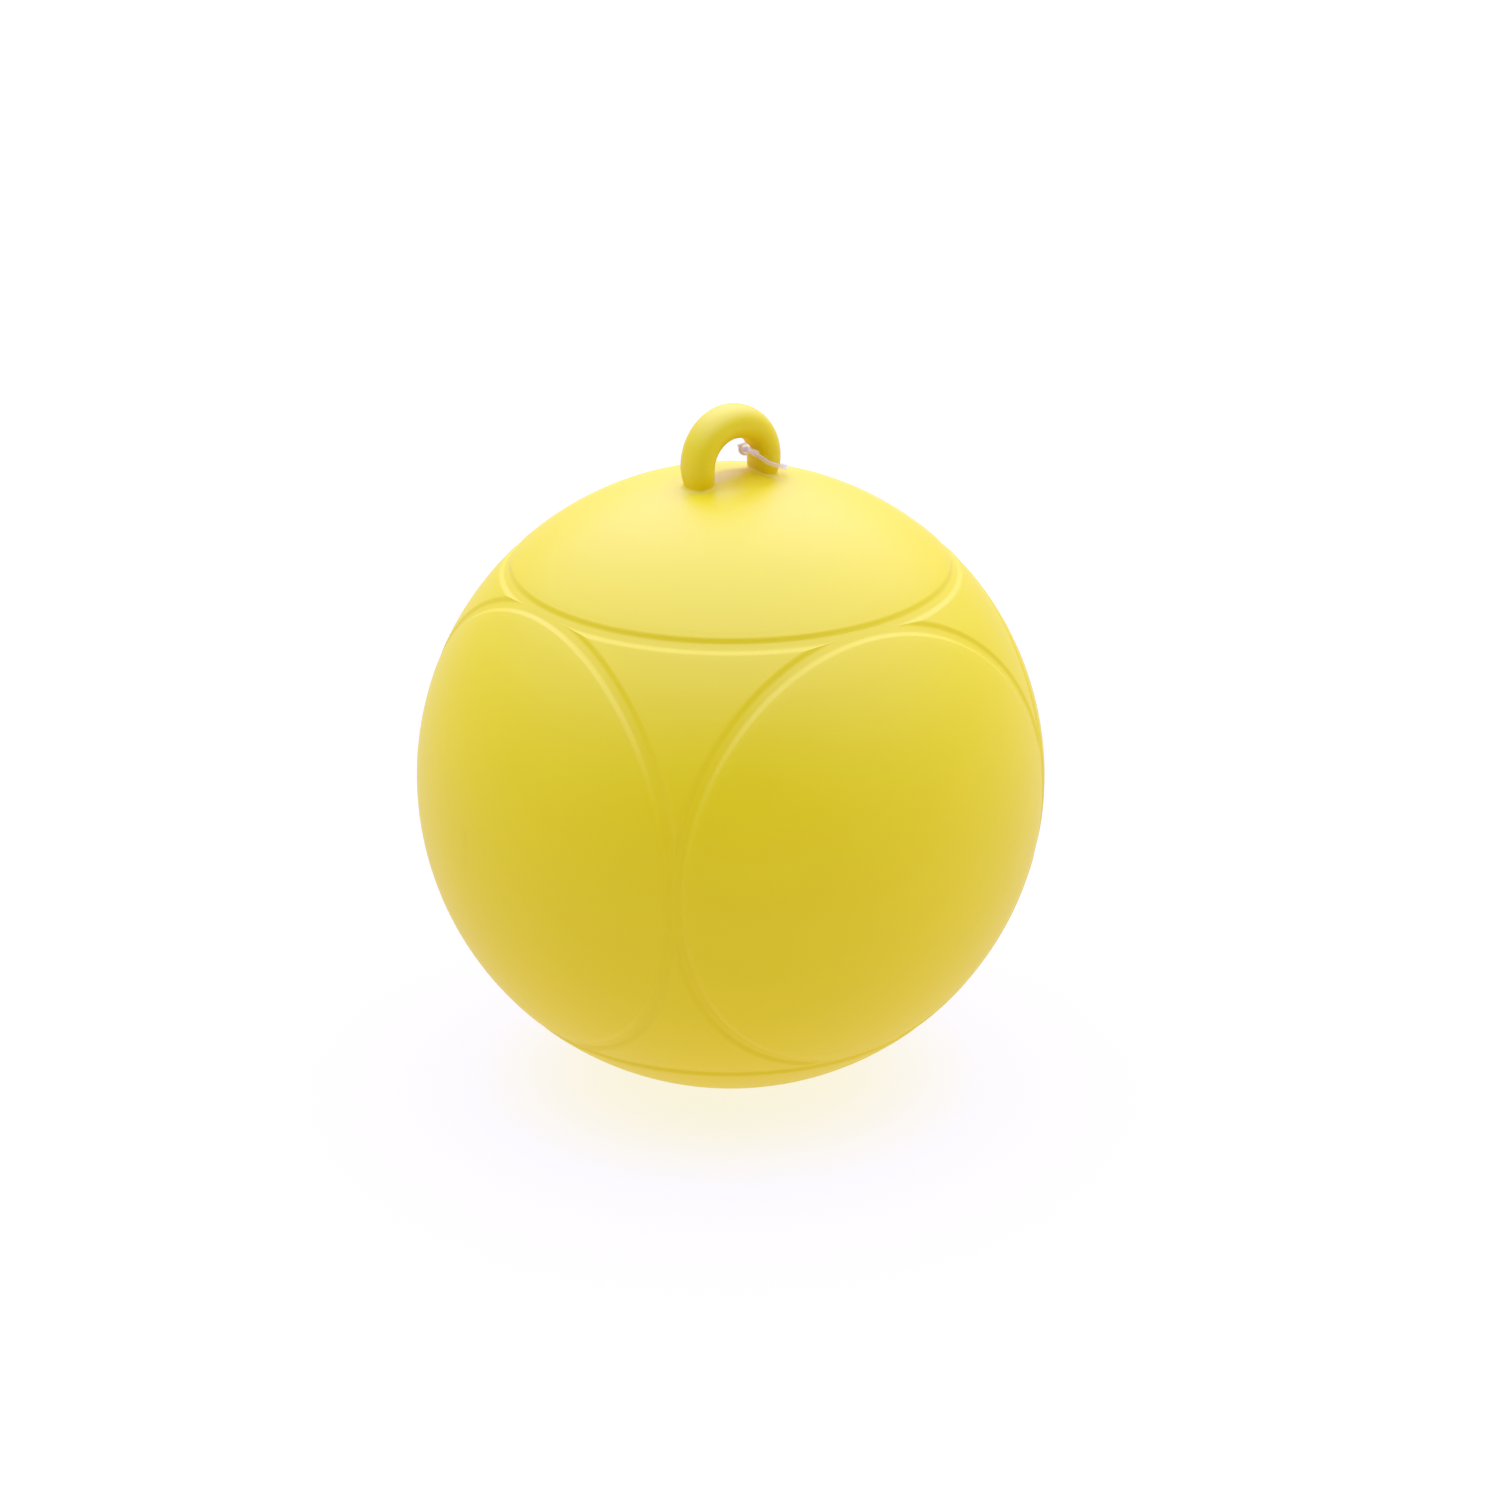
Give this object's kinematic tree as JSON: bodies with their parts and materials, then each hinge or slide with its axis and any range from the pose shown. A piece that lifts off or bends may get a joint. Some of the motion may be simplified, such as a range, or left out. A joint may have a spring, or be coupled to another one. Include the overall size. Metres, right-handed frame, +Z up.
{
  "type": "tethered training ball",
  "caption": "Hollow soft ball with six touching engraved circles and a moulded hanging loop on top, with a clear tag fastener round one leg.",
  "frame": {"origin": "the ball's lowest point, under the middle of the hanging loop", "axes": "+Z up through the hanging loop, +X along the loop's width in the plane the ball is joined in, +Y through the loop's eye"},
  "size_m": [0.074, 0.074, 0.0827],
  "materials": {
    "yellow_rubber": "satin moulded",
    "seam_cement": "satin",
    "clear_nylon": "clear gloss"
  },
  "bodies": {
    "ball": {"front_half_shell": "yellow_rubber", "rear_half_shell": "yellow_rubber", "seam_bond": "seam_cement", "hanging_loop": "yellow_rubber"},
    "fastener": {"tag_fastener": "clear_nylon"}
  },
  "joints": [
    {"name": "fastener_swivel", "type": "hinge", "parent": "ball", "child": "fastener", "pos_m": [0.00465, 0, 0.0755], "axis": [0, 0, 1], "range_deg": [-10, 10]}
  ]
}
